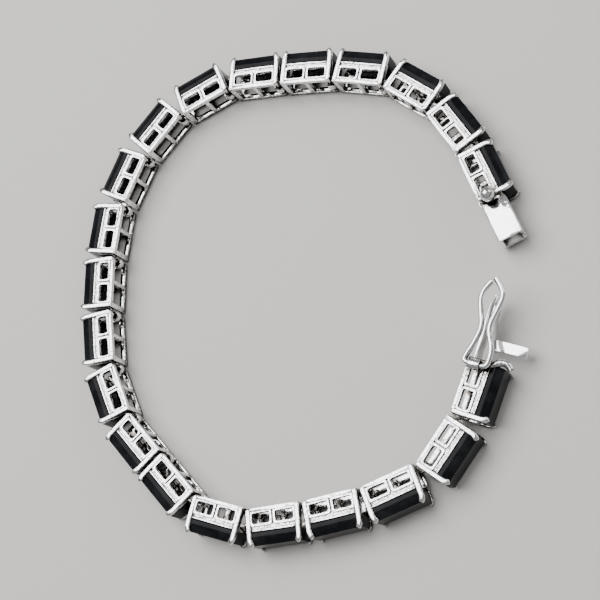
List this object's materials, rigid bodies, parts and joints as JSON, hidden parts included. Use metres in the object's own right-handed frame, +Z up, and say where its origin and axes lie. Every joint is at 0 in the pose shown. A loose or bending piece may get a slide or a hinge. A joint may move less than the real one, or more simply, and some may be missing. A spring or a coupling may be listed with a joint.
{
  "type": "tennis bracelet",
  "caption": "Line bracelet of black step-cut stones in bright silver claw settings, with box clasp and figure-8 safety catch, laid open on its edge.",
  "frame": {"origin": "middle of the bracelet's outline, on the surface that its edge rests on", "axes": "+Z up along the width of the band; the stones face outwards from the wrist hollow in the XY plane; the open clasp is on the +X side"},
  "size_m": [0.0688, 0.0746, 0.0065],
  "materials": {
    "silver": "bright polished rhodium-plated silver",
    "spring_silver": "polished spring-hard silver with fine rolling marks",
    "onyx": "opaque black stone, polished"
  },
  "bodies": {
    "bracelet": {"setting_01": "silver", "setting_02": "silver", "setting_03": "silver", "setting_04": "silver", "setting_05": "silver", "setting_06": "silver", "setting_07": "silver", "setting_08": "silver", "setting_09": "silver", "setting_10": "silver", "setting_11": "silver", "setting_12": "silver", "setting_13": "silver", "setting_14": "silver", "setting_15": "silver", "setting_16": "silver", "setting_17": "silver", "setting_18": "silver", "setting_19": "silver", "setting_20": "silver", "setting_21": "silver", "stone_01": "onyx", "stone_02": "onyx", "stone_03": "onyx", "stone_04": "onyx", "stone_05": "onyx", "stone_06": "onyx", "stone_07": "onyx", "stone_08": "onyx", "stone_09": "onyx", "stone_10": "onyx", "stone_11": "onyx", "stone_12": "onyx", "stone_13": "onyx", "stone_14": "onyx", "stone_15": "onyx", "stone_16": "onyx", "stone_17": "onyx", "stone_18": "onyx", "stone_19": "onyx", "stone_20": "onyx", "stone_21": "onyx", "clasp_box": "silver", "clasp_tongue": "spring_silver"},
    "safety_catch": {"safety_catch": "silver"}
  },
  "joints": [
    {"name": "safety_catch_hinge", "type": "hinge", "parent": "bracelet", "child": "safety_catch", "pos_m": [0.02689, -0.01477, 0.00539], "axis": [0.9537, -0.3007, 0], "range_deg": [0, 150]}
  ]
}
